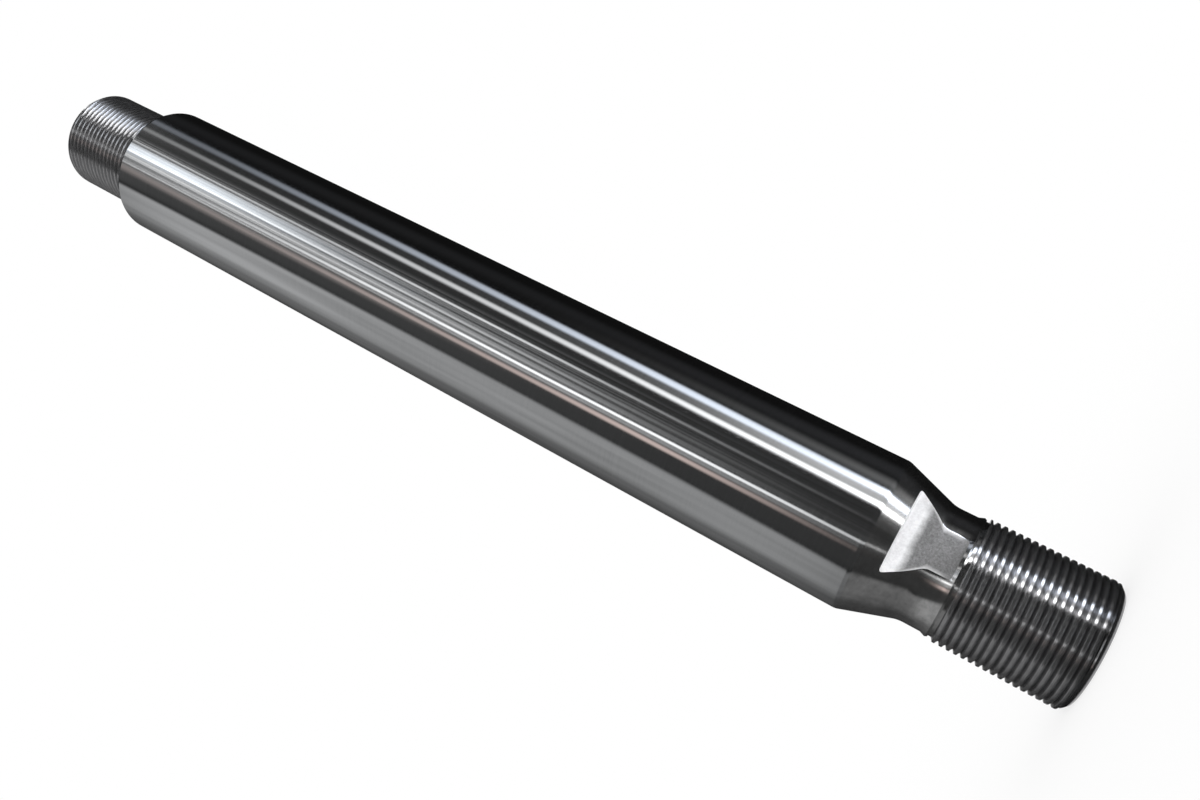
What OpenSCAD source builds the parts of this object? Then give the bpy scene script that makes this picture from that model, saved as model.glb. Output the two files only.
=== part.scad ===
// Cylinder rod: one steel bar, turned, threaded at both ends, milled with two wrench flats,
// chromed and ground. It stands on the end of its larger thread, the one that takes the rod eye.
// Origin: centre of that end face. Z runs along the axis, up to the thread that takes the piston.

/* [Ground body] */
// Diameter of the chromed and ground body
body_d = 45; // [42:0.5:60]
// Length of the body, from the end of the taper to the piston shoulder
body_l = 279.2; // [40:0.1:900]
// Length of the lead-in at the piston shoulder, which lets seals slip on
lead_in_l = 1; // [0.5:0.1:6]
// Depth of the lead-in at the shoulder, measured on the radius
lead_in_depth = 0.5; // [0.2:0.1:2]
// Radius of the rounded edge where the body meets the taper
body_edge_r = 4.5; // [1:0.1:9]

/* [Threads] */
// Pitch of both threads
pitch = 2; // [1:0.25:3]
// Outer diameter of the rod-eye thread
eye_thread_d = 36; // [35.5:0.5:39]
// Length of the rod-eye thread, with its chamfer
eye_thread_l = 35.5; // [15:0.5:100]
// Chamfer on the end of the rod-eye thread
eye_chamfer = 2; // [0.5:0.1:4]
// Outer diameter of the piston thread
piston_thread_d = 35; // [24:0.5:36]
// Length of the piston thread and its relief, from the shoulder to the end face
piston_thread_l = 35.5; // [15:0.5:100]
// Chamfer on the end of the piston thread
piston_chamfer = 2; // [0.5:0.1:4]
// Width of the relief between the piston thread and the shoulder
piston_relief_w = 3; // [1.5:0.1:6]

/* [Neck] */
// Diameter of the neck
neck_d = 34; // [33:0.1:35]
// Length of the taper between the body and the neck
taper_l = 15.6; // [12:0.1:50]
// Length of the neck, from the end of the taper to its collar
neck_l = 6.2; // [4:0.1:50]
// Radius of the hollow where the taper runs into the neck
neck_fillet_r = 9; // [2:0.5:20]
// Diameter of the ridge of the narrow collar beside the rod-eye thread
collar_d = 35.2; // [34.6:0.1:35.6]
// Diameter of the collar's edge at the relief
collar_edge_d = 34.6; // [34.4:0.1:35.4]
// Distance from that edge to the ridge
collar_w = 0.6; // [0.3:0.1:3]
// Length of the slope from the neck up to the ridge
collar_slope_l = 1.5; // [0.6:0.1:3]
// Width of the relief between the collar and the rod-eye thread
eye_relief_w = 0.9; // [0.6:0.1:5]
// Diameter of that relief
eye_relief_d = 33.8; // [32:0.1:34.3]

/* [Wrench flats] */
// Distance across the two flats
flats_across = 32; // [28:0.5:33]
// Distance from the wide end of the taper to the flats
flat_setback = 6.2; // [4:0.1:10]
// Length of each flat along the rod
flat_l = 16.2; // [6:0.1:18]
// Radius that the cutter leaves in the ends of each flat
flat_corner_r = 0.8; // [0.3:0.1:1.5]

/* [Centre holes] */
// Diameter of the centre hole's mouth, in both end faces
centre_mouth_d = 7.5; // [4:0.1:14]
// Diameter of the centre hole's pilot
centre_pilot_d = 3; // [1:0.1:3.9]
// Depth of the pilot past the countersink
centre_pilot_l = 4; // [2:0.1:10]

/* [Hidden] */
$fn = 96;
overshoot = 1;                                  // how far a cutter starts outside the steel

body_r = body_d / 2;
neck_r = neck_d / 2;
collar_r = collar_d / 2;
collar_edge_r = collar_edge_d / 2;
eye_r = eye_thread_d / 2;
piston_r = piston_thread_d / 2;

// Thread form: 60 degree flanks, a crest flat of an eighth and a root flat of a quarter of the pitch
flank_angle = 30;
crest_w = pitch / 8;
root_w = pitch / 4;
thread_depth = (pitch - crest_w - root_w) / 2 / tan(flank_angle);
relief_below_root = 0.3;                        // lets the threading tool run out clear of steel
piston_relief_r = piston_r - thread_depth - relief_below_root;

// Heights along the axis
z_eye_relief = eye_thread_l;
z_collar = z_eye_relief + eye_relief_w;
z_collar_ridge = z_collar + collar_w;
z_neck = z_collar_ridge + collar_slope_l;
z_taper = z_neck + neck_l;
z_body = z_taper + taper_l;
z_shoulder = z_body + body_l;
z_end = z_shoulder + piston_thread_l;
z_piston_thread = z_shoulder + piston_relief_w;
z_flat_top = z_body - flat_setback;
z_flat_bottom = z_flat_top - flat_l;

taper_angle = atan((body_r - neck_r) / taper_l);
centre_cone_l = (centre_mouth_d - centre_pilot_d) / 2 / tan(flank_angle);
arc_steps = 6;

// Points of a round corner of radius r that turns by the taper's angle. The corner is at [x, z];
// side is 1 where the steel is hollowed and -1 where its edge is rounded off.
function taper_corner(x, z, r, side) =
    let (run = r * tan(taper_angle / 2), z_start = z - side * run)
    [for (i = [0 : arc_steps])
        let (a = taper_angle * (side > 0 ? i : arc_steps - i) / arc_steps)
        side > 0
            ? [x + r * (1 - cos(a)), z_start + r * sin(a)]
            : [x - r * (1 - cos(a)), z_start - r * sin(a)]];

// Half of the section, as it leaves the lathe before the threads are cut
module blank_section() {
    polygon(concat(
        [
            [0, 0],
            [eye_r - eye_chamfer, 0],
            [eye_r, eye_chamfer],
            [eye_r, z_eye_relief],
            [eye_relief_d / 2, z_eye_relief],
            [eye_relief_d / 2, z_collar],
            [collar_edge_r, z_collar],
            [collar_r, z_collar_ridge],
            [neck_r, z_neck],
        ],
        taper_corner(neck_r, z_taper, neck_fillet_r, 1),
        taper_corner(body_r, z_body, body_edge_r, -1),
        [
            [body_r, z_shoulder - lead_in_l],
            [body_r - lead_in_depth, z_shoulder],
            [piston_relief_r, z_shoulder],
            [piston_relief_r, z_piston_thread],
            [piston_r, z_piston_thread],
            [piston_r, z_end - piston_chamfer],
            [piston_r - piston_chamfer, z_end],
            [0, z_end],
        ]
    ));
}

// Section of one thread groove: r is the thread's outer radius, and z 0 is the middle of the root
module groove_section(r) {
    flank_w = (thread_depth + overshoot) * tan(flank_angle);
    polygon([
        [r - thread_depth, -root_w / 2],
        [r + overshoot, -root_w / 2 - flank_w],
        [r + overshoot, root_w / 2 + flank_w],
        [r - thread_depth, root_w / 2],
    ]);
}

// Grooves of a thread of outer radius r and length l, one for each turn. They start at z 0 with a
// whole crest and run out through the chamfered end.
module thread_grooves(r, l) {
    turns = ceil(l / pitch);
    for (turn = [0 : turns - 1])
        translate([0, crest_w / 2 + (turn + 0.5) * pitch])
            groove_section(r);
}

// The turned rod. The threads are closed rings of the true form, pitch and depth.
module turned_rod() {
    rotate_extrude()
        difference() {
            blank_section();
            translate([0, z_eye_relief])
                mirror([0, 1])
                    thread_grooves(eye_r, eye_thread_l);
            translate([0, z_piston_thread])
                thread_grooves(piston_r, z_end - z_piston_thread);
        }
}

// What the milling cutter takes away for one flat, on the side that faces -Y
module flat_cut() {
    depth = body_r - flats_across / 2 + overshoot;
    translate([-body_r, -flats_across / 2, z_flat_bottom])
        rotate([90, 0, 90])
            linear_extrude(height = body_d)
                mirror([1, 0]) {
                    translate([0, flat_corner_r])
                        square([depth, flat_l - 2 * flat_corner_r]);
                    translate([flat_corner_r, 0])
                        square([depth - flat_corner_r, flat_l]);
                    for (z = [flat_corner_r, flat_l - flat_corner_r])
                        translate([flat_corner_r, z])
                            circle(r = flat_corner_r, $fn = 32);
                }
}

// Centre hole with its mouth at z 0, going up into the steel
module centre_hole() {
    slope = (centre_mouth_d - centre_pilot_d) / 2 / centre_cone_l;
    translate([0, 0, -overshoot])
        cylinder(r1 = centre_mouth_d / 2 + overshoot * slope, r2 = centre_pilot_d / 2,
                 h = centre_cone_l + overshoot);
    cylinder(d = centre_pilot_d, h = centre_cone_l + centre_pilot_l);
}

module rod() {
    color("silver")
        difference() {
            turned_rod();
            for (side = [0, 180])
                rotate([0, 0, side])
                    flat_cut();
            centre_hole();
            translate([0, 0, z_end])
                mirror([0, 0, 1])
                    centre_hole();
        }
}

rod();
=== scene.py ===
# %% [markdown]
# # A chromed hydraulic cylinder rod
#
# The object is one steel bar. A lathe turned it and cut a thread on each end, a mill took two wrench
# flats off its neck, and the body was chromed and ground to a mirror. The bar stands on its larger
# thread in this file, with its axis on Z, and the camera is rolled to see it lying down.

# %% Load the frame
import math

import bmesh
import bpy
from mathutils import Matrix, Vector


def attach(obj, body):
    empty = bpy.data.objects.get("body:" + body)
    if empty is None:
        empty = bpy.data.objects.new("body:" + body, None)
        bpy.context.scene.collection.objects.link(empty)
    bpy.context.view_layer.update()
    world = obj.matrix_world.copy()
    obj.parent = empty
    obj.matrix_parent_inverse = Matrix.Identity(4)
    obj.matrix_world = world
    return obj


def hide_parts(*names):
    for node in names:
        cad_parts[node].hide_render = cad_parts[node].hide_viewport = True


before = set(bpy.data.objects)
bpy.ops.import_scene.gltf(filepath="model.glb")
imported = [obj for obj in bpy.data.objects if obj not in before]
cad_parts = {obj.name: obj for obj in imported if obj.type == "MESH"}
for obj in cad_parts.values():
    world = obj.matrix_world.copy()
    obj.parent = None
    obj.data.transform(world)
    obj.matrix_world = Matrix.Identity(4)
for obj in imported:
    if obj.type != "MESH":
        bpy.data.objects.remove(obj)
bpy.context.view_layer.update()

# %% [markdown]
# ## Sizes
#
# Every length of the bar follows from the same sizes as in the part's source, here in metres. Heights
# are measured from the end of the larger thread, because that end is the origin.

# %% Sizes of the bar
MM = 0.001
BODY_R = 22.5 * MM
EYE_THREAD_R = 18 * MM
PISTON_THREAD_R = 17.5 * MM
PITCH = 2 * MM
FLANK_SLOPE = math.tan(math.radians(30))
THREAD_DEPTH = 5 / 16 * PITCH / FLANK_SLOPE
NECK_R = 17 * MM
COLLAR_R = 17.6 * MM
COLLAR_EDGE_R = 17.3 * MM
EYE_RELIEF_R = 16.9 * MM
PISTON_RELIEF_R = PISTON_THREAD_R - THREAD_DEPTH - 0.3 * MM
CHAMFER = 2 * MM
BODY_EDGE_R = 4.5 * MM
NECK_FILLET_R = 9 * MM
LEAD_IN_L = 1 * MM
LEAD_IN_DEPTH = 0.5 * MM
CENTRE_MOUTH_R = 3.75 * MM
CENTRE_PILOT_R = 1.5 * MM
CENTRE_CONE_L = (CENTRE_MOUTH_R - CENTRE_PILOT_R) / FLANK_SLOPE
CENTRE_PILOT_L = 4 * MM

Z_EYE_RELIEF = 35.5 * MM
Z_COLLAR = Z_EYE_RELIEF + 0.9 * MM
Z_COLLAR_RIDGE = Z_COLLAR + 0.6 * MM
Z_NECK = Z_COLLAR_RIDGE + 1.5 * MM
Z_TAPER = Z_NECK + 6.2 * MM
Z_BODY = Z_TAPER + 15.6 * MM
Z_SHOULDER = Z_BODY + 279.2 * MM
Z_PISTON_THREAD = Z_SHOULDER + 3 * MM
Z_END = Z_SHOULDER + 35.5 * MM
Z_FLAT_TOP = Z_BODY - 6.2 * MM
Z_FLAT_BOTTOM = Z_FLAT_TOP - 16.2 * MM
FLAT_Y = 16 * MM
FLAT_CORNER_R = 0.8 * MM
AROUND = 128           # faces in one turn
print(f"bar: {Z_END / MM:.1f} mm long, {2 * BODY_R / MM:g} mm wide, thread {THREAD_DEPTH / MM:.2f} mm deep")

# %% [markdown]
# ## Camera
#
# The photograph looks at the bar from beside its larger thread, slightly towards the far end, so the
# near end is wider than the far one. The bar could be laid on its side for that, but it stays as the
# frame has it, so the camera rolls instead, and its axes are written in the bar's own frame.

# %% Camera
camera_place = Vector((-75.90, -273.70, 45.02)) * MM
camera_right = Vector((0.524288, 0.173316, -0.833717))
camera_up = Vector((0.815268, -0.384876, 0.432677))

camera_data = bpy.data.cameras.new("camera")
camera_data.lens = 29.90
camera_data.sensor_width = 36
camera_data.clip_start = 0.01
camera = bpy.data.objects.new("camera", camera_data)
bpy.context.collection.objects.link(camera)
turn = Matrix((camera_right, camera_up, camera_right.cross(camera_up))).transposed()
camera.matrix_world = Matrix.Translation(camera_place) @ turn.to_4x4()
bpy.context.scene.camera = camera
print("camera", [round(c, 4) for c in camera_place], "lens", camera_data.lens)

# %% [markdown]
# ## Small helpers for node trees
#
# Materials, the tent of cards and the shapes all come from node trees, so short helpers add a node, do
# a sum, start a geometry tree and run it on an outline. The same trees could be wired by hand in the
# node editor, but a written one can be read from top to bottom.

# %% Node helpers
def add_node(tree, kind, **settings):
    """A new node with its settings; a key that names an input sets that input's value."""
    node = tree.nodes.new(kind)
    for key, value in settings.items():
        if key in node.inputs:
            node.inputs[key].default_value = value
        else:
            setattr(node, key, value)
    return node


def math_node(tree, operation, a, b=0.0, c=0.0):
    """One sum. Each of a, b and c is a number or a socket."""
    node = tree.nodes.new("ShaderNodeMath")
    node.operation = operation
    for slot, value in zip(node.inputs, (a, b, c)):
        if isinstance(value, bpy.types.NodeSocket):
            tree.links.new(value, slot)
        else:
            slot.default_value = value
    return node.outputs[0]


def geometry_tree(name, inputs):
    """An empty geometry tree with named inputs: (name, socket type, value)."""
    tree = bpy.data.node_groups.new(name, "GeometryNodeTree")
    for label, kind, value in inputs:
        socket = tree.interface.new_socket(label, in_out="INPUT", socket_type=kind)
        if value is not None:
            socket.default_value = value
    tree.interface.new_socket("Geometry", in_out="OUTPUT", socket_type="NodeSocketGeometry")
    return tree, tree.nodes.new("NodeGroupInput").outputs, tree.nodes.new("NodeGroupOutput").inputs


def grow(tree, start_mesh, values, name):
    """Runs a geometry tree on a start mesh with named input values and returns a plain mesh."""
    seed = bpy.data.objects.new(name, start_mesh)
    bpy.context.collection.objects.link(seed)
    modifier = seed.modifiers.new(name, "NODES")
    modifier.node_group = tree
    for item in tree.interface.items_tree:
        if item.in_out == "INPUT" and item.name in values:
            modifier[item.identifier] = values[item.name]
    evaluated = seed.evaluated_get(bpy.context.evaluated_depsgraph_get())
    mesh = bpy.data.meshes.new_from_object(evaluated)
    bpy.data.objects.remove(seed)
    print(f"{name}: {len(mesh.vertices)} points, {len(mesh.polygons)} faces")
    return mesh


def outline_mesh(name, points):
    """A line of points (radius, height), as a mesh of edges in the XZ plane."""
    mesh = bpy.data.meshes.new(name)
    mesh.from_pydata([(r, 0, z) for r, z in points], [(i, i + 1) for i in range(len(points) - 1)], [])
    return mesh

# %% [markdown]
# ## Four finishes
#
# One bar of steel has four surfaces: ground chrome, turned steel, cut thread and milled flat. The trees
# below paint the stretches with them, so they are made here, and each gets its look in a later cell.

# %% Finishes, empty until their own cells
chrome = bpy.data.materials.new("ground_chrome")
turned_steel = bpy.data.materials.new("turned_steel")
thread_steel = bpy.data.materials.new("cut_thread")
milled_steel = bpy.data.materials.new("milled_flat")
finishes = [chrome, turned_steel, thread_steel, milled_steel]
print("finishes:", [finish.name for finish in finishes])

# %% [markdown]
# ## Turned stretches
#
# A lathe makes any stretch of the bar by one rule: an outline goes once round the axis. Blender has a
# Spin tool and a Screw modifier for that. Here a Geometry Nodes tree does it, because the same grid
# idea then also makes the threads: one row of the grid for each point of the outline.

# %% A grid that wraps round the axis
WELD_DISTANCE = 0.0002 * MM


def grid_of_rows(tree, rows, around):
    """A grid with that many rows. Returns its geometry, its row number and its share of a turn."""
    grid = add_node(tree, "GeometryNodeMeshGrid", **{"Size X": 1.0, "Size Y": 1.0})
    tree.links.new(rows, grid.inputs["Vertices X"])
    tree.links.new(math_node(tree, "ADD", around, 1), grid.inputs["Vertices Y"])
    here = add_node(tree, "ShaderNodeSeparateXYZ")
    tree.links.new(add_node(tree, "GeometryNodeInputPosition").outputs[0], here.inputs[0])
    along = math_node(tree, "ADD", here.outputs["X"], 0.5)
    row = math_node(tree, "ROUND", math_node(tree, "MULTIPLY", along, math_node(tree, "SUBTRACT", rows, 1)))
    return grid.outputs["Mesh"], row, math_node(tree, "ADD", here.outputs["Y"], 0.5)


def outline_point(tree, outline, index):
    """Radius and height of one point of an outline."""
    sample = add_node(tree, "GeometryNodeSampleIndex", data_type="FLOAT_VECTOR", domain="POINT")
    tree.links.new(outline, sample.inputs["Geometry"])
    tree.links.new(add_node(tree, "GeometryNodeInputPosition").outputs[0], sample.inputs["Value"])
    tree.links.new(index, sample.inputs["Index"])
    point = add_node(tree, "ShaderNodeSeparateXYZ")
    tree.links.new(sample.outputs[0], point.inputs[0])
    return point.outputs["X"], point.outputs["Z"]


def wrap_round(tree, grid, radius, share, height, material, result):
    """Puts each point of the grid at its radius, share of a turn and height, then welds and paints it."""
    angle = math_node(tree, "MULTIPLY", share, 2 * math.pi)
    place = add_node(tree, "ShaderNodeCombineXYZ")
    tree.links.new(math_node(tree, "MULTIPLY", radius, math_node(tree, "COSINE", angle)), place.inputs["X"])
    tree.links.new(math_node(tree, "MULTIPLY", radius, math_node(tree, "SINE", angle)), place.inputs["Y"])
    tree.links.new(height, place.inputs["Z"])
    move = add_node(tree, "GeometryNodeSetPosition")
    tree.links.new(grid, move.inputs["Geometry"])
    tree.links.new(place.outputs[0], move.inputs["Position"])
    weld = add_node(tree, "GeometryNodeMergeByDistance", Distance=WELD_DISTANCE)
    tree.links.new(move.outputs[0], weld.inputs["Geometry"])
    real = add_node(tree, "GeometryNodeRealizeInstances")
    tree.links.new(weld.outputs[0], real.inputs[0])
    paint = add_node(tree, "GeometryNodeSetMaterial")
    tree.links.new(real.outputs[0], paint.inputs["Geometry"])
    tree.links.new(material, paint.inputs["Material"])
    tree.links.new(paint.outputs[0], result)

# %% Tree that turns an outline round the axis
turned_tree, given, result = geometry_tree("turned stretch", [
    ("Geometry", "NodeSocketGeometry", None),
    ("Around", "NodeSocketInt", AROUND),
    ("Material", "NodeSocketMaterial", None),
])
outline_size = add_node(turned_tree, "GeometryNodeAttributeDomainSize")
turned_tree.links.new(given["Geometry"], outline_size.inputs[0])
grid, row, share = grid_of_rows(turned_tree, outline_size.outputs["Point Count"], given["Around"])
radius, height = outline_point(turned_tree, given["Geometry"], row)
wrap_round(turned_tree, grid, radius, share, height, given["Material"], result["Geometry"])
print("turned stretch:", len(turned_tree.nodes), "nodes")

# %% [markdown]
# ## Threads
#
# A thread is a groove that climbs one pitch a turn. The solid has closed rings in its place, and this
# tree makes the real one-start right-hand helix. A Screw modifier could wind one too, but it has no way
# to end it. Here every row of the grid climbs with the angle, and its radius follows from the distance
# to the nearest crest. Rows past either end are held at that end, so the groove runs out through the
# chamfer as on a real thread. The outer diameter is the solid's, but the crests are broader and their
# edges are eased, as use leaves them, because in the photograph they catch the light as wide dots.

# %% Tree that cuts a thread: where each row lies
EASED_EDGE = 0.2 * MM
CREST_HALF = 0.19      # half the width of the crest, as a share of the pitch
SPARE_TURNS = 3        # turns past both ends, so that the climb leaves no gap
TURNS_BEFORE = 2       # how many of them lie before the start
tree, given, result = geometry_tree("threaded stretch", [
    ("Geometry", "NodeSocketGeometry", None),
    ("Radius", "NodeSocketFloat", EYE_THREAD_R),
    ("Pitch", "NodeSocketFloat", PITCH),
    ("Depth", "NodeSocketFloat", THREAD_DEPTH),
    ("Length", "NodeSocketFloat", Z_EYE_RELIEF),
    ("Chamfer", "NodeSocketFloat", CHAMFER),
    ("Wall radius", "NodeSocketFloat", EYE_RELIEF_R),
    ("Wall height", "NodeSocketFloat", Z_EYE_RELIEF),
    ("Direction", "NodeSocketFloat", -1.0),
    ("Around", "NodeSocketInt", AROUND),
    ("Material", "NodeSocketMaterial", None),
])
thread_tree = tree
outline_size = add_node(tree, "GeometryNodeAttributeDomainSize")
tree.links.new(given["Geometry"], outline_size.inputs[0])
turn_rows = outline_size.outputs["Point Count"]
length_in_turns = math_node(tree, "DIVIDE", given["Length"], given["Pitch"])
turns = math_node(tree, "CEIL", math_node(tree, "ADD", length_in_turns, SPARE_TURNS))
grid, row, share = grid_of_rows(tree, math_node(tree, "MULTIPLY", turns, turn_rows), given["Around"])
_, share_of_pitch = outline_point(tree, given["Geometry"], math_node(tree, "MODULO", row, turn_rows))
turn_number = math_node(tree, "FLOOR", math_node(tree, "DIVIDE", row, turn_rows))
turn_number = math_node(tree, "SUBTRACT", turn_number, TURNS_BEFORE)
along = math_node(tree, "MULTIPLY", math_node(tree, "ADD", share_of_pitch, turn_number), given["Pitch"])
climb = math_node(tree, "MULTIPLY", math_node(tree, "MULTIPLY", share, given["Pitch"]), given["Direction"])
not_before = math_node(tree, "MAXIMUM", math_node(tree, "ADD", along, climb), 0)
held = math_node(tree, "MINIMUM", not_before, given["Length"])
print(f"crests: {2 * CREST_HALF * PITCH / MM:.2f} mm wide, edges eased by {EASED_EDGE / MM:.1f} mm")

# %% Tree that cuts a thread: its form
phase = math_node(tree, "DIVIDE", math_node(tree, "SUBTRACT", held, climb), given["Pitch"])
in_turn = math_node(tree, "FRACT", math_node(tree, "ADD", phase, 0.5))
from_crest = math_node(tree, "ABSOLUTE", math_node(tree, "SUBTRACT", in_turn, 0.5))
past_edge = math_node(tree, "MULTIPLY", math_node(tree, "SUBTRACT", from_crest, CREST_HALF), given["Pitch"])
flank = math_node(tree, "DIVIDE", past_edge, FLANK_SLOPE)
crest_eased = math_node(tree, "SMOOTH_MAX", flank, 0, EASED_EDGE)
cut = math_node(tree, "SMOOTH_MIN", crest_eased, given["Depth"], EASED_EDGE)
to_end = math_node(tree, "SUBTRACT", given["Length"], held)
chamfered = math_node(tree, "ADD", math_node(tree, "SUBTRACT", given["Radius"], given["Chamfer"]), to_end)
radius = math_node(tree, "MINIMUM", math_node(tree, "SUBTRACT", given["Radius"], cut), chamfered)
is_wall = math_node(tree, "LESS_THAN", row, 0.5)
thread_part = math_node(tree, "MULTIPLY", radius, math_node(tree, "SUBTRACT", 1, is_wall))
radius = math_node(tree, "ADD", thread_part, math_node(tree, "MULTIPLY", given["Wall radius"], is_wall))
height = math_node(tree, "MULTIPLY_ADD", held, given["Direction"], given["Wall height"])
wrap_round(tree, grid, radius, share, height, given["Material"], result["Geometry"])
print("threaded stretch:", len(tree.nodes), "nodes")

# %% Cut both threads
# Rows from the middle of a crest to its root, in pitches, close together where the crest bends
half_turn = (0.07, 0.14, 0.17, 0.20, 0.24, 0.40, 0.49)
one_turn = outline_mesh("one turn of a thread", [
    (0, at) for at in half_turn + tuple(1 - at for at in reversed(half_turn))])
eye_thread = grow(thread_tree, one_turn, {
    "Radius": EYE_THREAD_R, "Length": Z_EYE_RELIEF, "Wall radius": EYE_RELIEF_R,
    "Wall height": Z_EYE_RELIEF, "Direction": -1.0, "Material": thread_steel}, "rod-eye thread")
piston_thread = grow(thread_tree, one_turn, {
    "Radius": PISTON_THREAD_R, "Length": Z_END - Z_PISTON_THREAD, "Wall radius": PISTON_RELIEF_R,
    "Wall height": Z_PISTON_THREAD, "Direction": 1.0, "Material": thread_steel}, "piston thread")

# %% [markdown]
# ## The plain stretches
#
# The neck has a narrow collar, a short parallel length and a taper with a hollow at its foot and a
# rounded edge at its top. The chrome starts at that edge and ends on the lead-in. Each stretch is an
# outline of its own, so that each gets its own finish.

# %% Outlines of the plain stretches
def corner_arc(r, z, radius, angle, side, steps=6):
    """Points of a corner between a parallel stretch and a taper: side is 1 if hollow, -1 if rounded."""
    start = z - side * radius * math.tan(angle / 2)
    turns = [angle * i / steps for i in range(steps + 1)]
    if side < 0:
        turns.reverse()
    return [(r + side * radius * (1 - math.cos(a)), start + side * radius * math.sin(a)) for a in turns]


taper_angle = math.atan((BODY_R - NECK_R) / (Z_BODY - Z_TAPER))
body_edge = corner_arc(BODY_R, Z_BODY, BODY_EDGE_R, taper_angle, -1)
neck_outline = [
    (EYE_RELIEF_R, Z_EYE_RELIEF), (EYE_RELIEF_R, Z_COLLAR), (COLLAR_EDGE_R, Z_COLLAR),
    (COLLAR_R, Z_COLLAR_RIDGE), (NECK_R, Z_NECK),
] + corner_arc(NECK_R, Z_TAPER, NECK_FILLET_R, taper_angle, 1) + body_edge[:2]
body_start = body_edge[-1][1]
body_steps = 12
body_outline = body_edge[1:] + [
    (BODY_R, body_start + (Z_SHOULDER - LEAD_IN_L - body_start) * i / body_steps)
    for i in range(1, body_steps + 1)] + [(BODY_R - LEAD_IN_DEPTH, Z_SHOULDER)]
shoulder_outline = [
    (BODY_R - LEAD_IN_DEPTH, Z_SHOULDER), (PISTON_RELIEF_R, Z_SHOULDER), (PISTON_RELIEF_R, Z_PISTON_THREAD)]


def end_outline(face_r, face_z, into):
    """End face and centre hole: into is +1 when the hole goes up, -1 when it goes down."""
    floor_z = face_z + into * (CENTRE_CONE_L + CENTRE_PILOT_L)
    return [(face_r, face_z), (CENTRE_MOUTH_R, face_z), (CENTRE_PILOT_R, face_z + into * CENTRE_CONE_L),
            (CENTRE_PILOT_R, floor_z), (0, floor_z)]

# %% Turn the plain stretches
stretches = [eye_thread, piston_thread]
for name, points, finish in (
    ("neck", neck_outline, turned_steel),
    ("body", body_outline, chrome),
    ("shoulder", shoulder_outline, turned_steel),
    ("eye end", end_outline(EYE_THREAD_R - CHAMFER, 0, 1), turned_steel),
    ("piston end", end_outline(PISTON_THREAD_R - CHAMFER, Z_END, -1), turned_steel),
):
    stretches.append(grow(turned_tree, outline_mesh(name, points), {"Material": finish}, name))

# %% [markdown]
# ## One closed bar
#
# The stretches share their end circles, so joining them and merging the doubled points closes the
# bar, more exactly than a boolean union would. The wrench flats are then milled: a cutter with a small
# corner radius is taken away from each side of the neck by a boolean, as the mill does it, which leaves
# the flat and the upright wall at its ends.

# %% Join the stretches
SEAM_DISTANCE = 0.0003 * MM
SHORTEST_EDGE = 0.0001 * MM
bar = bmesh.new()
for mesh in stretches:
    first = len(bar.faces)
    slot = finishes.index(next(finish for finish in mesh.materials if finish))
    bar.from_mesh(mesh)
    bar.faces.ensure_lookup_table()
    for face in bar.faces[first:]:
        face.material_index = slot
bmesh.ops.remove_doubles(bar, verts=bar.verts, dist=SEAM_DISTANCE)
bmesh.ops.dissolve_degenerate(bar, edges=bar.edges, dist=SHORTEST_EDGE)
bmesh.ops.recalc_face_normals(bar, faces=bar.faces)
open_edges = sum(1 for edge in bar.edges if len(edge.link_faces) != 2)
rod_mesh = bpy.data.meshes.new("cylinder_rod")
bar.to_mesh(rod_mesh)
bar.free()
for finish in finishes:
    rod_mesh.materials.append(finish)
rod = bpy.data.objects.new("cylinder_rod", rod_mesh)
bpy.context.collection.objects.link(rod)
print("bar:", len(rod_mesh.polygons), "faces,", open_edges, "open edges")

# %% The cutter
def cutter_mesh(side):
    """The steel that the mill takes away for one flat: side is -1 for the front, +1 for the back."""
    reach = BODY_R + 3 * MM
    arc = [math.radians(90 * i / 6) for i in range(7)]
    outline = [(reach, Z_FLAT_BOTTOM), (reach, Z_FLAT_TOP)]
    for a in arc:
        in_corner = FLAT_CORNER_R * (1 - math.sin(a)), FLAT_CORNER_R * (1 - math.cos(a))
        outline.append((FLAT_Y + in_corner[0], Z_FLAT_TOP - in_corner[1]))
    for a in arc:
        in_corner = FLAT_CORNER_R * (1 - math.cos(a)), FLAT_CORNER_R * (1 - math.sin(a))
        outline.append((FLAT_Y + in_corner[0], Z_FLAT_BOTTOM + in_corner[1]))
    cutter = bmesh.new()
    ends = [[cutter.verts.new((x, side * y, z)) for y, z in outline] for x in (-reach, reach)]
    cutter.faces.new(ends[0])
    cutter.faces.new(ends[1])
    for i in range(len(outline)):
        j = (i + 1) % len(outline)
        cutter.faces.new((ends[0][i], ends[0][j], ends[1][j], ends[1][i]))
    bmesh.ops.remove_doubles(cutter, verts=cutter.verts, dist=SHORTEST_EDGE)
    bmesh.ops.recalc_face_normals(cutter, faces=cutter.faces)
    mesh = bpy.data.meshes.new("cutter")
    cutter.to_mesh(mesh)
    cutter.free()
    mesh.materials.append(milled_steel)
    return mesh

# %% Mill the wrench flats
for side in (-1, 1):
    cutter = bpy.data.objects.new("cutter", cutter_mesh(side))
    bpy.context.collection.objects.link(cutter)
    milling = rod.modifiers.new("milling", "BOOLEAN")
    milling.object = cutter
    milling.operation = "DIFFERENCE"
    milling.solver = "EXACT"
    milling.material_mode = "TRANSFER"
    milled = bpy.data.meshes.new_from_object(rod.evaluated_get(bpy.context.evaluated_depsgraph_get()))
    rod.modifiers.clear()
    rod.data = milled
    bpy.data.objects.remove(cutter)
rod_mesh = rod.data
rod_mesh.name = "cylinder_rod"
milled_slot = rod_mesh.materials.find("milled_flat")
for polygon in rod_mesh.polygons:
    polygon.use_smooth = polygon.material_index != milled_slot
# The lead-in slopes by 26.6 degrees and has to stay crisp
rod_mesh.set_sharp_from_angle(angle=math.radians(26))
print("milled bar:", len(rod_mesh.polygons), "faces, slots", [m.name for m in rod_mesh.materials])

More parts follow.
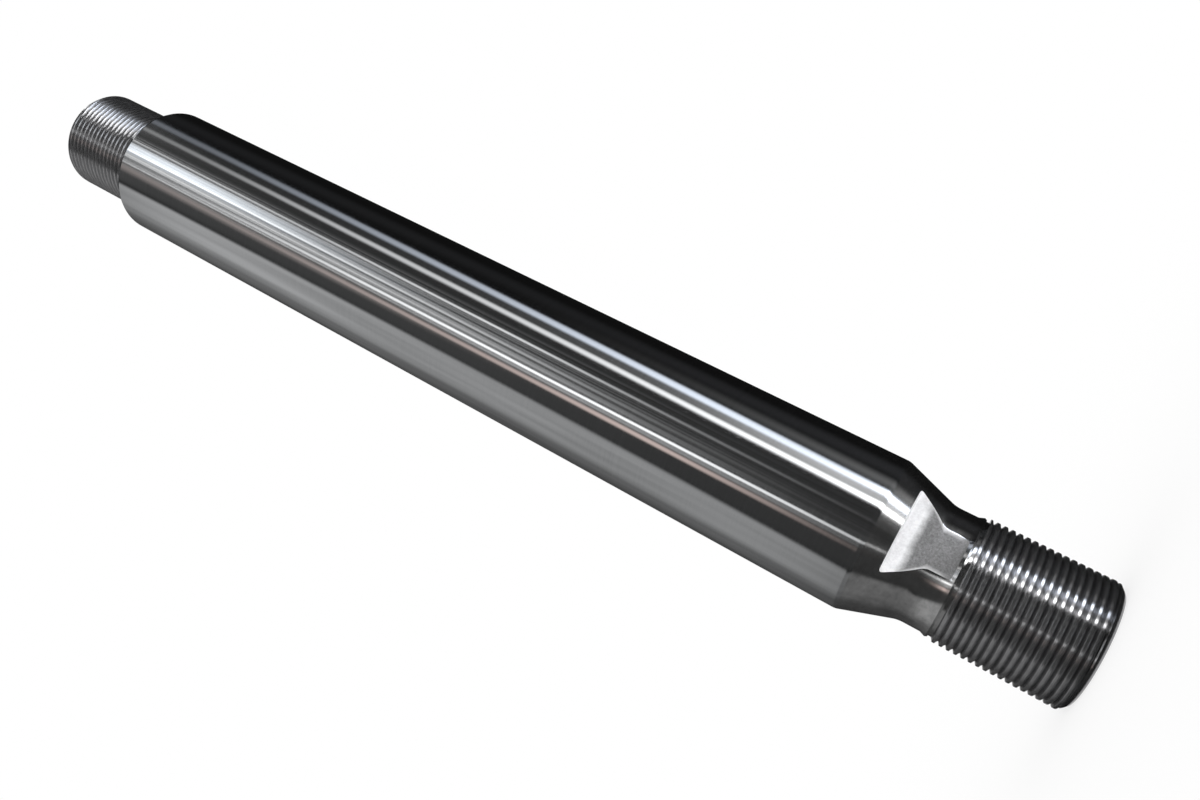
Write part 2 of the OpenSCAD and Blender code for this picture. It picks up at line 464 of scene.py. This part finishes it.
# %% [markdown]
# ## Ground chrome
#
# Hard chrome is a mirror, but the grinding wheel leaves marks that run round the bar. Such marks
# spread a reflection along the bar and hardly across it, so every lamp in the room turns into a long
# streak. A bump of fine rings could do that, but it would come out grainy. An anisotropic gloss, whose
# direction follows the axis, does it smoothly.

# %% Metal shader
def metal(material, metallic, anisotropy):
    """A metal with marks that run round the axis. Returns its tree, shader and object coordinates."""
    material.use_nodes = True
    tree = material.node_tree
    shader = tree.nodes["Principled BSDF"]
    shader.inputs["Metallic"].default_value = metallic
    shader.inputs["Anisotropic"].default_value = anisotropy
    where = add_node(tree, "ShaderNodeTexCoord")
    along = add_node(tree, "ShaderNodeCombineXYZ", Z=1.0)
    tree.links.new(along.outputs[0], shader.inputs["Tangent"])
    return tree, shader, where.outputs["Object"]


def noise(tree, place, scale, detail=2.0, roughness=0.5):
    """Noise between 0 and 1, stretched by a scale for each axis."""
    stretch = add_node(tree, "ShaderNodeMapping", Scale=scale)
    tree.links.new(place, stretch.inputs["Vector"])
    cloud = add_node(tree, "ShaderNodeTexNoise", Scale=1.0, Detail=detail, Roughness=roughness)
    tree.links.new(stretch.outputs[0], cloud.inputs["Vector"])
    return cloud.outputs["Fac"]


def remap(tree, value, low, high, to_low, to_high):
    """Carries a value from one range to another and holds it at the ends."""
    carry = add_node(tree, "ShaderNodeMapRange", **{
        "From Min": low, "From Max": high, "To Min": to_low, "To Max": to_high})
    tree.links.new(value, carry.inputs["Value"])
    return carry.outputs[0]


def shade(tree, shader, colour, level):
    """Multiplies a colour by a level and gives it to the shader."""
    tone = add_node(tree, "ShaderNodeVectorMath", operation="SCALE")
    tone.inputs[0].default_value = colour
    tree.links.new(level, tone.inputs["Scale"])
    tree.links.new(tone.outputs[0], shader.inputs["Base Color"])


def relief(tree, shader, height, depth):
    """Raises the surface by a height between 0 and 1 times a depth in metres."""
    bump = add_node(tree, "ShaderNodeBump", Strength=1.0, Distance=depth)
    tree.links.new(height, bump.inputs["Height"])
    tree.links.new(bump.outputs[0], shader.inputs["Normal"])

# %% Ground chrome
CHROME = (0.62, 0.63, 0.64)
tree, shader, place = metal(chrome, 1.0, 0.85)
grinding = noise(tree, place, (40, 40, 6000), detail=3)
tree.links.new(remap(tree, grinding, 0.3, 0.7, 0.095, 0.14), shader.inputs["Roughness"])
shade(tree, shader, CHROME, remap(tree, grinding, 0.3, 0.7, 0.97, 1.03))
relief(tree, shader, noise(tree, place, (70, 70, 18), detail=2), 0.03 * MM)
print("ground chrome:", len(tree.nodes), "nodes")

# %% [markdown]
# ## Turned steel
#
# The neck and the end faces are bare steel with the fine rings of the lathe tool. Bare steel is duller
# than chrome, and stains and knocks cloud it. The rings are noise squeezed along the axis, and the
# stains are a second, rounder noise that drives both colour and gloss.

# %% Turned steel
TURNED = (0.64, 0.64, 0.64)
tree, shader, place = metal(turned_steel, 1.0, 0.85)
rings = noise(tree, place, (20, 20, 4200), detail=2)
stains = noise(tree, place, (160, 160, 260), detail=4, roughness=0.65)
tree.links.new(remap(tree, stains, 0.35, 0.7, 0.13, 0.21), shader.inputs["Roughness"])
shade(tree, shader, TURNED, remap(tree, stains, 0.3, 0.7, 1.12, 0.68))
relief(tree, shader, math_node(tree, "MULTIPLY_ADD", stains, 0.7, rings), 0.012 * MM)
print("turned steel:", len(tree.nodes), "nodes")

# %% [markdown]
# ## Cut threads
#
# The threads are the same steel. Their roots are painted darker than the crests, as painted shade that
# keeps the roots from showing the lamps. A vertex colour could tell crest from root, but the distance
# from the axis does it without one. The gloss is spread along the axis, so that each crest shows a
# lamp as a wide dot.

# %% Thread steel
def from_axis(tree, place):
    """Distance from the bar's axis, and the height, of the point that is shaded."""
    parts = add_node(tree, "ShaderNodeSeparateXYZ")
    tree.links.new(place, parts.inputs[0])
    square_x = math_node(tree, "MULTIPLY", parts.outputs["X"], parts.outputs["X"])
    square_y = math_node(tree, "MULTIPLY", parts.outputs["Y"], parts.outputs["Y"])
    return math_node(tree, "SQRT", math_node(tree, "ADD", square_x, square_y)), parts.outputs["Z"]


THREADED = (0.53, 0.53, 0.54)
tree, shader, place = metal(thread_steel, 0.97, 0.93)
radius, height = from_axis(tree, place)
at_piston = math_node(tree, "GREATER_THAN", height, Z_SHOULDER)
crest_r = math_node(tree, "MULTIPLY_ADD", at_piston, PISTON_THREAD_R - EYE_THREAD_R, EYE_THREAD_R)
below_crest = math_node(tree, "SUBTRACT", crest_r, radius)
wear = noise(tree, place, (300, 300, 900), detail=3, roughness=0.6)
# Painted shade: the colour darkens from the crest towards the root
root_shade = remap(tree, below_crest, 0.3 * THREAD_DEPTH, 0.9 * THREAD_DEPTH, 1.0, 0.6)
worn = remap(tree, wear, 0.3, 0.7, 0.88, 1.08)
shade(tree, shader, THREADED, math_node(tree, "MULTIPLY", root_shade, worn))
tree.links.new(remap(tree, wear, 0.3, 0.7, 0.21, 0.27), shader.inputs["Roughness"])
print("cut thread:", len(tree.nodes), "nodes")

# %% [markdown]
# ## Milled flats
#
# The cutter leaves a matt, mottled face. A bright band beside the upright wall and a thin bright line
# along the edges are painted highlights, standing in for the light that the bent run-out and the edges
# catch. A matt face shows the even light of the room and none of its lamps, so it is given little of the
# metal's mirror. The painted edge highlight lies where the flat comes close to the outline of the neck.
# It could be a strip of mesh, but distance from the axis and height find it too.

# %% Milled flats
MILLED = (0.70, 0.70, 0.71)
tree, shader, place = metal(milled_steel, 0.2, 0.0)
shader.inputs["Roughness"].default_value = 0.45
radius, height = from_axis(tree, place)
taper_slope = (BODY_R - NECK_R) / (Z_BODY - Z_TAPER)
up_taper = math_node(tree, "MAXIMUM", math_node(tree, "SUBTRACT", height, Z_TAPER), 0)
outline_r = math_node(tree, "MULTIPLY_ADD", up_taper, taper_slope, NECK_R)
# Painted highlight along the edges, where the flat nears the neck's outline, weaker at the lower end
edge_highlight = remap(tree, math_node(tree, "SUBTRACT", outline_r, radius), 0.05 * MM, 0.35 * MM, 0.6, 0.0)
edge_highlight_fades = remap(tree, height, Z_FLAT_BOTTOM + 1 * MM, Z_FLAT_BOTTOM + 3 * MM, 0.1, 1.0)
edge_highlight = math_node(tree, "MULTIPLY", edge_highlight, edge_highlight_fades)
grain = noise(tree, place, (1900, 1900, 1900), detail=3, roughness=0.7)
blotches = noise(tree, place, (260, 260, 260), detail=3, roughness=0.6)
# Painted highlight: a band beside the upper wall, with a blotchy lower edge
wall_highlight_edge = math_node(tree, "MULTIPLY_ADD", blotches, 1.5 * MM, height)
wall_highlight = remap(tree, wall_highlight_edge, Z_FLAT_TOP - 4.8 * MM, Z_FLAT_TOP - 2.4 * MM, 0.0, 1.0)
matt = remap(tree, grain, 0.3, 0.7, 0.20, 0.42)
# The matt tone, lifted by the painted highlights, then mottled
level = math_node(tree, "ADD", matt, math_node(tree, "MAXIMUM", edge_highlight, wall_highlight))
level = math_node(tree, "MULTIPLY", level, remap(tree, blotches, 0.3, 0.7, 0.88, 1.10))
shade(tree, shader, MILLED, level)
relief(tree, shader, grain, 0.04 * MM)
print("milled flat:", len(tree.nodes), "nodes")

# %% [markdown]
# ## Floor and world
#
# The background is white, and so is the floor on which the bar stands. Most of the floor's white is its
# own glow, which keeps the bar's shadow faint. A white world lights everything evenly, so a colour
# renders as it is written.

# %% White world and pale floor
world = bpy.data.worlds.new("white room")
world.use_nodes = True
world.node_tree.nodes["Background"].inputs["Color"].default_value = (1, 1, 1, 1)
bpy.context.scene.world = world

FLOOR_HALF = 3.0
floor_mesh = bpy.data.meshes.new("floor")
corners = [(x * FLOOR_HALF, y * FLOOR_HALF, 0) for x, y in ((-1, -1), (1, -1), (1, 1), (-1, 1))]
floor_mesh.from_pydata(corners, [], [(0, 1, 2, 3)])
floor = bpy.data.objects.new("floor", floor_mesh)
bpy.context.collection.objects.link(floor)
pale = bpy.data.materials.new("pale_floor")
pale.use_nodes = True
pale_shader = pale.node_tree.nodes["Principled BSDF"]
pale_shader.inputs["Base Color"].default_value = (0.25, 0.25, 0.25, 1)
pale_shader.inputs["Roughness"].default_value = 1
pale_shader.inputs["Specular IOR Level"].default_value = 0
pale_shader.inputs["Emission Color"].default_value = (1, 1, 1, 1)
pale_shader.inputs["Emission Strength"].default_value = 0.75
floor_mesh.materials.append(pale)
print("floor:", floor.dimensions.x, "m wide")

# %% [markdown]
# ## A tent of cards
#
# A mirror shows the room, so lighting chrome means choosing what it sees. A photographer puts black
# flags and thin strip lights round it. Here they are one tent of cards, a low ring on the floor and a
# dome over it, which only gloss can see, so it hides nothing from the camera and casts no shadow.

# %% Shape of the tent
TENT_R = 2.0
HEM_R = EYE_THREAD_R - CHAMFER + 0.5 * MM
RINGS, SIDES = 24, 96
TOP_RISE = 89.5
GROUND_GAP = 0.3 * MM
tent_points = []
for ring in range(RINGS):
    up = math.radians(TOP_RISE * ring / (RINGS - 1))
    for side in range(SIDES):
        turn_by = 2 * math.pi * side / SIDES
        ring_r = TENT_R * math.cos(up)
        ring_z = TENT_R * math.sin(up) + GROUND_GAP
        tent_points.append((ring_r * math.cos(turn_by), ring_r * math.sin(turn_by), ring_z))
hem = len(tent_points)
for side in range(SIDES):
    turn_by = 2 * math.pi * side / SIDES
    tent_points.append((HEM_R * math.cos(turn_by), HEM_R * math.sin(turn_by), GROUND_GAP))
tent_faces = []
for ring in range(RINGS - 1):
    for side in range(SIDES):
        after = (side + 1) % SIDES
        low, high = ring * SIDES, (ring + 1) * SIDES
        tent_faces.append((low + side, low + after, high + after, high + side))
# The cap, and the low ring that runs in from the dome to the foot of the bar
tent_faces.append(tuple((RINGS - 1) * SIDES + side for side in range(SIDES)))
for side in range(SIDES):
    after = (side + 1) % SIDES
    tent_faces.append((hem + side, hem + after, after, side))
tent_mesh = bpy.data.meshes.new("card_tent")
tent_mesh.from_pydata(tent_points, [], tent_faces)
tent = bpy.data.objects.new("card_tent", tent_mesh)
bpy.context.collection.objects.link(tent)
tent.visible_camera = False
tent.visible_diffuse = False
tent.visible_transmission = False
tent.visible_volume_scatter = False
tent.visible_shadow = False
print("tent:", len(tent_mesh.polygons), "faces")

# %% [markdown]
# ## Where a strip hangs
#
# The cards could be many small planes, but one tree that paints the whole tent is easier to tune. It
# needs two angles for every point of the tent. The bearing goes round the bar, counted from the
# camera's side and growing towards the lower side of the picture. The rise goes up from the floor. Near
# the bar's foot a strip would look bent, since the surface sees it from a point off the axis, about half
# the thread's radius. There the bearing is corrected, so that the strip runs on as if it were far away.

# %% Bearing and rise
cards = bpy.data.materials.new("cards")
cards.use_nodes = True
tree = cards.node_tree
tree.nodes.clear()
out = add_node(tree, "ShaderNodeOutputMaterial")
glow = add_node(tree, "ShaderNodeEmission")
tree.links.new(glow.outputs[0], out.inputs["Surface"])
on_tent = add_node(tree, "ShaderNodeTexCoord").outputs["Object"]
flat_distance, tent_height = from_axis(tree, on_tent)
front_bearing = math.atan2(camera_place.y, camera_place.x)
facing = add_node(tree, "ShaderNodeVectorRotate", rotation_type="Z_AXIS", Angle=-front_bearing)
tree.links.new(on_tent, facing.inputs["Vector"])
turned = add_node(tree, "ShaderNodeSeparateXYZ")
tree.links.new(facing.outputs[0], turned.inputs[0])
angle = math_node(tree, "ARCTAN2", turned.outputs["Y"], turned.outputs["X"])
bearing = math_node(tree, "MULTIPLY", angle, -math.degrees(1))
foot_mm = math_node(tree, "DIVIDE", flat_distance, MM)
FAR_ENOUGH = 0.01      # share below which a point counts as far away
off_axis = math_node(tree, "DIVIDE", EYE_THREAD_R / 2 / MM, foot_mm)
close_by = math_node(tree, "MAXIMUM", math_node(tree, "SUBTRACT", off_axis, FAR_ENOUGH), 0)
bearing = math_node(tree, "DIVIDE", bearing, math_node(tree, "SUBTRACT", 1, close_by))
height_share = math_node(tree, "MINIMUM", math_node(tree, "DIVIDE", tent_height, TENT_R), 1)
rise = math_node(tree, "MULTIPLY", math_node(tree, "ARCSINE", height_share), math.degrees(1))
print("tent: the camera's side lies at", round(math.degrees(front_bearing), 1), "degrees")

# %% [markdown]
# ## What a strip is
#
# A strip is a band of light with a middle, a half width and soft edges, all in degrees of bearing. It
# can lean or bow as it rises, since the real lamps didn't stand upright. Its brightness is a list of
# stops, each a rise and a level. The bar's near end sees low rises and its far end high ones, so the
# stops say how bright the streak is along the bar.

# %% Glow and strip
WAIST_RISE = 27        # degrees at which a bowed strip lies nearest to its centre


def glow_by_rise(*stops):
    """Brightness at several rises, each (degrees, brightness), joined by straight ramps."""
    peak = max(level for degrees, level in stops)
    ramp = add_node(tree, "ShaderNodeValToRGB")
    tree.links.new(math_node(tree, "DIVIDE", rise, 90), ramp.inputs["Fac"])
    elements = ramp.color_ramp.elements
    while len(elements) < len(stops):
        elements.new(0.5)
    for element, (degrees, level) in zip(elements, stops):
        element.position = degrees / 90
        element.color = (level / peak, level / peak, level / peak, 1)
    return math_node(tree, "MULTIPLY", ramp.outputs["Color"], peak)


def strip(total, centre, half_width, soft, level, lean=0.0, colour=(1, 1, 1), bow=0.0, texture=None):
    """Adds a glowing strip: lean and bow move its middle as it rises."""
    middle = math_node(tree, "MULTIPLY_ADD", rise, lean, centre)
    if bow:
        from_waist = math_node(tree, "SUBTRACT", rise, WAIST_RISE)
        square = math_node(tree, "MULTIPLY", from_waist, from_waist)
        middle = math_node(tree, "MULTIPLY_ADD", square, bow, middle)
    off = math_node(tree, "ABSOLUTE", math_node(tree, "SUBTRACT", bearing, middle))
    edge = add_node(tree, "ShaderNodeMapRange", interpolation_type="SMOOTHSTEP", **{
        "From Min": half_width + soft, "From Max": max(half_width - soft, 0)})
    tree.links.new(off, edge.inputs["Value"])
    level = math_node(tree, "MULTIPLY", edge.outputs[0], level)
    if texture is not None:
        level = math_node(tree, "MULTIPLY", level, texture)
    tint = add_node(tree, "ShaderNodeVectorMath", operation="SCALE")
    tint.inputs[0].default_value = colour
    tree.links.new(level, tint.inputs["Scale"])
    add = add_node(tree, "ShaderNodeVectorMath", operation="ADD")
    tree.links.new(total, add.inputs[0])
    tree.links.new(tint.outputs[0], add.inputs[1])
    return add.outputs[0]

# %% [markdown]
# ## Uneven light
#
# No real lamp or wall is even, and a mirror shows it. Fine lines, drawn out along the bar, break up the
# lamps over the far end, and soft clouds break up the light from the workshop's floor. Both are noise
# over bearing and rise, so they need no picture and follow the bar's length.

# %% Lines and clouds
LINES_LEAN = 0.06      # degrees of bearing for each degree of rise
on_cards = add_node(tree, "ShaderNodeCombineXYZ")
tree.links.new(math_node(tree, "MULTIPLY_ADD", rise, LINES_LEAN, bearing), on_cards.inputs["X"])
tree.links.new(rise, on_cards.inputs["Y"])
lines = noise(tree, on_cards.outputs[0], (0.5, 0.012, 1), detail=3, roughness=0.7)
fine = remap(tree, lines, 0.47, 0.63, 0.0, 1.0)
puffs = noise(tree, on_cards.outputs[0], (0.05, 0.06, 1), detail=4, roughness=0.6)
clouds = remap(tree, puffs, 0.3, 0.7, 0.72, 1.28)
below_bar = math_node(tree, "MULTIPLY", clouds, remap(tree, bearing, 112, 155, 1.0, 0.4))
beside_bar = math_node(tree, "MULTIPLY", clouds, remap(tree, bearing, 98, 118, 1.0, 0.1))
BLACK_FLAG = 0.006     # what is left of the light on a black card
total = add_node(tree, "ShaderNodeCombineXYZ", X=BLACK_FLAG, Y=BLACK_FLAG, Z=BLACK_FLAG).outputs[0]
print("cards:", len(tree.nodes), "nodes before the strips")

# %% [markdown]
# ## Strips along the upper side
#
# Two tall strips give the pair of long streaks on the chrome and the two rows of dots on the larger
# thread. The upper one is bluish, the lower one white, and a weak halo joins them. Above them the bar
# is nearly black, and two weak cards keep a little life in it.

# %% Upper side
# Two weak cards over the dark upper edge
total = strip(total, -104, 12, 10, glow_by_rise((5, 0.025), (30, 0.012)), colour=(0.95, 0.98, 1.05))
total = strip(total, -77, 7, 7, glow_by_rise((0, 0.20), (10, 0.12), (20, 0.03), (30, 0.0)), lean=-0.2)
# The bluish streak
total = strip(total, -60.2, 4.8, 3.0, glow_by_rise(
    (0, 4.4), (2, 3.6), (4.5, 1.5), (19, 1.4), (32, 0.76), (42, 0.46), (50, 0.22), (75, 0.0)),
    lean=-0.25, colour=(0.90, 0.97, 1.09))
# The halo between the streaks
total = strip(total, -51, 7, 6, glow_by_rise(
    (0, 0.6), (7, 0.75), (10, 0.65), (19, 0.14), (32, 0.04), (50, 0.02), (75, 0.0)), lean=-0.2)
# The white streak
total = strip(total, -40.6, 3.4, 2.4, glow_by_rise(
    (0, 6.0), (2, 5.0), (4.5, 1.9), (10, 1.9), (19, 1.5), (32, 1.0), (42, 0.75), (50, 0.32), (75, 0.0)),
    lean=-0.19)
print("cards:", len(tree.nodes), "nodes with the upper side")

# %% [markdown]
# ## Lamps over the far end
#
# The middle of the bar is dark near the thread and brightens towards the piston end. A weak wash and a
# set of fine lines do most of it, and four narrower strips draw the streaks in it.

# %% Middle of the bar
# The weak wash
total = strip(total, 6, 54, 5, glow_by_rise(
    (0, 0.02), (30, 0.022), (45, 0.028), (54, 0.04), (60, 0.15), (70, 0.15), (77, 0.02)))
# The fine lines
total = strip(total, 0, 28, 6, glow_by_rise(
    (8, 0.03), (20, 0.14), (32, 0.4), (45, 0.8), (54.5, 1.1), (56.5, 0.12), (75, 0.0)), texture=fine)
# Two sharp streaks
total = strip(total, -15.8, 1.3, 0.8, glow_by_rise(
    (5, 0.03), (20, 0.25), (31, 1.3), (42, 0.5), (55, 0.3), (75, 0.0)), lean=-0.09)
total = strip(total, 0, 1.4, 1.0, glow_by_rise(
    (8, 0.02), (19, 0.12), (31, 0.7), (42, 1.1), (50, 1.3), (54.5, 1.2), (56.5, 0.12), (75, 0.0)),
    lean=-0.03)
# The bluish lamp at the far end, and the dim streak below it
total = strip(total, -6, 8, 5, glow_by_rise(
    (36, 0.0), (43, 0.2), (49, 1.0), (54.5, 1.6), (56.5, 0.12), (75, 0.0)), colour=(0.93, 0.99, 1.06))
total = strip(total, 8, 3, 3, glow_by_rise(
    (9, 0.03), (19, 0.15), (31, 0.45), (54.5, 0.6), (56.5, 0.1), (75, 0.0)))
print("cards:", len(tree.nodes), "nodes with the middle")

# %% [markdown]
# ## Lower side
#
# A thin white line runs along the bar below its middle, with a reddish one beside it, as a wall of a
# warm colour gives. Under them comes a dark gap, and then the pale floor of the workshop, whose edge
# bows along the bar.

# %% Lower side
# The white line, and the dim space below it
total = strip(total, 15.6, 1.8, 1.0, glow_by_rise(
    (0, 0.6), (5, 0.7), (9, 1.2), (19, 1.8), (32, 1.8), (42, 1.2), (50, 0.5), (56.5, 0.1), (75, 0.0)),
    lean=0.02)
total = strip(total, 21, 2.6, 2.0, glow_by_rise(
    (0, 0.03), (5, 0.1), (9, 0.2), (19, 0.34), (32, 0.28), (42, 0.1), (52, 0.3), (56.5, 0.1), (75, 0.0)))
# The reddish line
total = strip(total, 27.4, 2.8, 2.0, glow_by_rise(
    (0, 0.01), (5, 0.08), (9, 0.2), (19, 0.8), (28, 0.6), (36, 0.4), (45, 0.12), (60, 0.0)),
    lean=0.06, colour=(1.18, 0.94, 0.86))
# The dark gap, with a reddish gleam at its far end
total = strip(total, 42, 14, 8, glow_by_rise((0, 0.015), (19, 0.02), (32, 0.035), (50, 0.03), (60, 0.0)))
total = strip(total, 31, 6, 4, glow_by_rise(
    (30, 0.0), (42, 0.14), (50, 0.17), (55, 0.17), (60, 0.0)), colour=(1.12, 0.97, 0.92))
# The workshop's floor, below the bar and brighter beside it
total = strip(total, 150, 92, 3.5, glow_by_rise(
    (0, 0.09), (6, 0.17), (53, 0.20), (59, 0.06), (77, 0.03)), bow=0.0075, texture=below_bar)
total = strip(total, 88, 30, 3.5, glow_by_rise(
    (0, 0.08), (6, 0.16), (35, 0.20), (50, 0.30), (58, 0.06), (77, 0.0)), bow=0.0075, texture=beside_bar)
print("cards:", len(tree.nodes), "nodes with the lower side")

# %% [markdown]
# ## Behind, above and under the taper
#
# The picture says nothing of the light behind the bar. Two strips there keep its back from going black,
# and one high card lights the spigot. The taper looks down, at a ring of floor that little else sees,
# and one patch there lights it. The floor right beside the bar's foot stays dark.

# %% Behind, above and under the taper
for behind in (-178, 178):
    total = strip(total, behind, 6, 4, glow_by_rise((0, 0.9), (40, 0.7), (70, 0.2)))
# The high card over the spigot
total = strip(total, -66, 22, 8, glow_by_rise((55, 0.0), (61, 0.55), (70, 0.4), (77, 0.0)))
# The patch of floor that the taper sees
patch_starts = remap(tree, foot_mm, 60, 84, 0.0, 1.0)
patch_ends = remap(tree, foot_mm, 104, 130, 1.0, 0.0)
under_taper = math_node(tree, "MULTIPLY", patch_starts, patch_ends)
total = strip(total, -62, 34, 22, under_taper, colour=(0.24, 0.24, 0.24))
# Darkness beside the foot
past_foot = remap(tree, foot_mm, 28, 42, 0.0, 1.0)
past_foot_or_up = math_node(tree, "MAXIMUM", past_foot, remap(tree, rise, 0.5, 1.0, 0.0, 1.0))
shown = add_node(tree, "ShaderNodeVectorMath", operation="SCALE")
tree.links.new(total, shown.inputs[0])
tree.links.new(past_foot_or_up, shown.inputs["Scale"])
tree.links.new(shown.outputs[0], glow.inputs["Color"])
tent_mesh.materials.append(cards)
print("cards:", len(tree.nodes), "nodes")

# %% [markdown]
# ## Hand over
#
# The bar stands for the solid and rides on the part's one body.

# %% Hand over
bpy.context.scene.view_settings.view_transform = "Standard"
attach(rod, "root")
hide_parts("rod")
print("open edges:", open_edges, "triangles:", sum(len(p.vertices) - 2 for p in rod.data.polygons))
